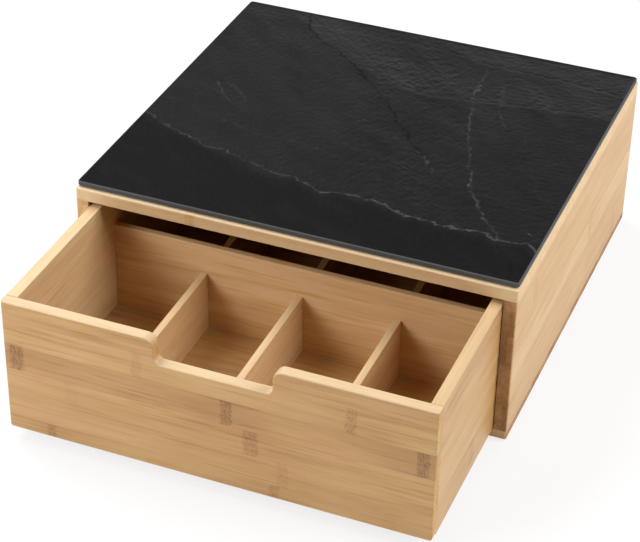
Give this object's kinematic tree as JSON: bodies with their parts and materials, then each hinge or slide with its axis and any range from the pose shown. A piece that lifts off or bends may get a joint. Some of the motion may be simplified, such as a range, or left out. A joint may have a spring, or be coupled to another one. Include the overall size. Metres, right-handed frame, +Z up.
{
  "type": "tea bag drawer box",
  "caption": "Bamboo tabletop box with a stone-look glass top and one sliding drawer, split into compartments for tea sachets or capsules and pulled by a finger notch.",
  "frame": {"origin": "middle of the flat underside of the case's bottom board; the feet reach 1.5 mm below it", "axes": "+Z up, -Y the way the drawer pulls out, +X to the right of someone facing the drawer front"},
  "size_m": [0.31, 0.417, 0.1251],
  "materials": {
    "bamboo": "satin",
    "bamboo_inner": "satin",
    "dowel_wood": "matte",
    "slate_glass": "satin",
    "adhesive": "clear",
    "foot_rubber": "matte"
  },
  "bodies": {
    "case": {"case_top": "bamboo", "case_bottom": "bamboo", "case_left_side": "bamboo", "case_right_side": "bamboo", "case_back": "bamboo", "case_dowels": "dowel_wood", "non_slip_feet": "foot_rubber", "glass_adhesive_pads": "adhesive", "glass_plate": "slate_glass"},
    "drawer": {"drawer_front": "bamboo", "drawer_left_side": "bamboo", "drawer_right_side": "bamboo", "drawer_back": "bamboo", "drawer_floor": "bamboo_inner", "drawer_dowels": "dowel_wood", "cross_divider": "bamboo_inner", "front_divider_1": "bamboo_inner", "front_divider_2": "bamboo_inner", "front_divider_3": "bamboo_inner", "rear_divider_1": "bamboo_inner", "rear_divider_2": "bamboo_inner", "rear_divider_3": "bamboo_inner"}
  },
  "joints": [
    {"name": "drawer_slide", "type": "slide", "parent": "case", "child": "drawer", "axis": [0, -1, 0], "range_m": [-0.121, 0.119]}
  ]
}
